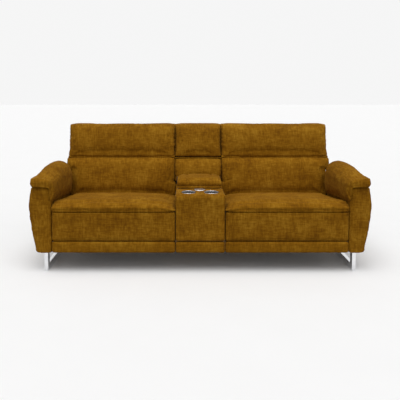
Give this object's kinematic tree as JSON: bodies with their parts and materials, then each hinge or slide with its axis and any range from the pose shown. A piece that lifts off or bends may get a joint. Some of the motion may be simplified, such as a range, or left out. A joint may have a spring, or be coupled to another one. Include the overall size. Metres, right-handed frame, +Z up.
{
  "type": "reclining sofa with centre console",
  "caption": "Wide fabric sofa with reclining seats, tilting headrests, a fixed console with cup holders and lifting armrest, on metal sled legs.",
  "frame": {"origin": "on the floor, below the middle of the whole sofa at rest", "axes": "+X to the right seen from the front, +Y towards the back, +Z up; the front faces -Y"},
  "size_m": [2.238, 0.8909, 0.938],
  "materials": {
    "upholstery": "soft brushed chenille, slubbed",
    "wood": "raw plywood",
    "black_steel": "satin black paint",
    "zinc_steel": "zinc plated",
    "chrome": "polished",
    "satin_steel": "satin",
    "black_plastic": "fine texture"
  },
  "bodies": {
    "root": {"arm_box_left": "upholstery", "arm_box_right": "upholstery", "arm_pad_left": "upholstery", "arm_pad_right": "upholstery", "sled_leg_left": "chrome", "sled_leg_right": "chrome", "seat_cushion_left": "upholstery", "seat_cushion_right": "upholstery", "seat_springs_left": "zinc_steel", "seat_springs_right": "zinc_steel", "base_frame_left": "wood", "base_frame_right": "wood", "valance_left": "upholstery", "valance_right": "upholstery", "mechanism_frame_left": "black_steel", "mechanism_frame_right": "black_steel", "actuator_housing_left": "black_plastic", "actuator_housing_right": "black_plastic", "control_bezel_left": "black_plastic", "control_bezel_right": "black_plastic", "cup_holder_left": "satin_steel", "cup_holder_right": "satin_steel", "console_body": "wood", "console_front": "upholstery", "console_valance": "upholstery", "console_deck": "upholstery", "charging_disc": "satin_steel", "lid_hinge": "black_steel", "console_back_shell": "upholstery", "console_lumbar": "upholstery", "console_headrest": "upholstery", "centre_foot": "black_plastic", "power_supply": "black_plastic"},
    "back_left": {"back_shell_left": "upholstery", "headrest_shaft_left": "zinc_steel", "lumbar_cushion_left": "upholstery"},
    "back_right": {"back_shell_right": "upholstery", "headrest_shaft_right": "zinc_steel", "lumbar_cushion_right": "upholstery"},
    "headrest_left": {"headrest_frame_left": "black_steel", "headrest_cushion_left": "upholstery"},
    "headrest_right": {"headrest_frame_right": "black_steel", "headrest_cushion_right": "upholstery"},
    "swing_arm_left": {"footrest_arm_left": "black_steel"},
    "swing_arm_right": {"footrest_arm_right": "black_steel"},
    "upper_link_left": {"footrest_link_left": "black_steel"},
    "upper_link_right": {"footrest_link_right": "black_steel"},
    "footrest_left": {"footrest_board_left": "wood", "footrest_pad_left": "upholstery"},
    "footrest_right": {"footrest_board_right": "wood", "footrest_pad_right": "upholstery"},
    "push_rod_left": {"actuator_rod_left": "zinc_steel"},
    "push_rod_right": {"actuator_rod_right": "zinc_steel"},
    "recline_key_left": {"recline_button_left": "satin_steel"},
    "recline_key_right": {"recline_button_right": "satin_steel"},
    "return_key_left": {"return_button_left": "satin_steel"},
    "return_key_right": {"return_button_right": "satin_steel"},
    "lid": {"lid_board": "wood", "lid_pad": "upholstery"}
  },
  "joints": [
    {"name": "back_recline_left", "type": "hinge", "parent": "root", "child": "back_left", "pos_m": [-0.5665, 0.135, 0.34], "axis": [-1, 0, 0], "range_deg": [0, 32]},
    {"name": "back_recline_right", "type": "hinge", "parent": "root", "child": "back_right", "pos_m": [0.5665, 0.135, 0.34], "axis": [-1, 0, 0], "range_deg": [0, 32]},
    {"name": "headrest_tilt_left", "type": "hinge", "parent": "back_left", "child": "headrest_left", "pos_m": [-0.5665, 0.19, 0.69], "axis": [1, 0, 0], "range_deg": [0, 35]},
    {"name": "headrest_tilt_right", "type": "hinge", "parent": "back_right", "child": "headrest_right", "pos_m": [0.5665, 0.19, 0.69], "axis": [1, 0, 0], "range_deg": [0, 35]},
    {"name": "footrest_swing_left", "type": "hinge", "parent": "root", "child": "swing_arm_left", "pos_m": [-0.5665, -0.3, 0.372], "axis": [-1, 0, 0], "range_deg": [0, 80]},
    {"name": "footrest_swing_right", "type": "hinge", "parent": "root", "child": "swing_arm_right", "pos_m": [0.5665, -0.3, 0.372], "axis": [-1, 0, 0], "range_deg": [0, 80]},
    {"name": "footrest_knee_left", "type": "hinge", "parent": "swing_arm_left", "child": "upper_link_left", "pos_m": [-0.5665, -0.32952, 0.20458], "axis": [-1, 0, 0], "range_deg": [-155, 0]},
    {"name": "footrest_knee_right", "type": "hinge", "parent": "swing_arm_right", "child": "upper_link_right", "pos_m": [0.5665, -0.32952, 0.20458], "axis": [-1, 0, 0], "range_deg": [-155, 0]},
    {"name": "footrest_toe_left", "type": "hinge", "parent": "upper_link_left", "child": "footrest_left", "pos_m": [-0.5665, -0.37352, 0.36879], "axis": [-1, 0, 0], "range_deg": [0, 165]},
    {"name": "footrest_toe_right", "type": "hinge", "parent": "upper_link_right", "child": "footrest_right", "pos_m": [0.5665, -0.37352, 0.36879], "axis": [-1, 0, 0], "range_deg": [0, 165]},
    {"name": "rod_slide_left", "type": "slide", "parent": "root", "child": "push_rod_left", "axis": [0, -1, 0], "range_m": [0, 0.0772]},
    {"name": "rod_slide_right", "type": "slide", "parent": "root", "child": "push_rod_right", "axis": [0, -1, 0], "range_m": [0, 0.0772]},
    {"name": "recline_press_left", "type": "slide", "parent": "root", "child": "recline_key_left", "axis": [1, 0, 0], "range_m": [0, 0.0015], "stiffness_N_per_m": 800},
    {"name": "recline_press_right", "type": "slide", "parent": "root", "child": "recline_key_right", "axis": [-1, 0, 0], "range_m": [0, 0.0015], "stiffness_N_per_m": 800},
    {"name": "return_press_left", "type": "slide", "parent": "root", "child": "return_key_left", "axis": [1, 0, 0], "range_m": [0, 0.0015], "stiffness_N_per_m": 800},
    {"name": "return_press_right", "type": "slide", "parent": "root", "child": "return_key_right", "axis": [-1, 0, 0], "range_m": [0, 0.0015], "stiffness_N_per_m": 800},
    {"name": "lid_lift", "type": "hinge", "parent": "root", "child": "lid", "pos_m": [0, 0.072, 0.538], "axis": [-1, 0, 0], "range_deg": [0, 85]}
  ],
  "couplings": [
    {"joint": "footrest_knee_left", "follows": "footrest_swing_left", "ratio": -1.9375},
    {"joint": "footrest_toe_left", "follows": "footrest_swing_left", "ratio": 2.0625},
    {"joint": "rod_slide_left", "follows": "footrest_swing_left", "m_per_rad": 0.055244},
    {"joint": "footrest_knee_right", "follows": "footrest_swing_right", "ratio": -1.9375},
    {"joint": "footrest_toe_right", "follows": "footrest_swing_right", "ratio": 2.0625},
    {"joint": "rod_slide_right", "follows": "footrest_swing_right", "m_per_rad": 0.055244}
  ]
}
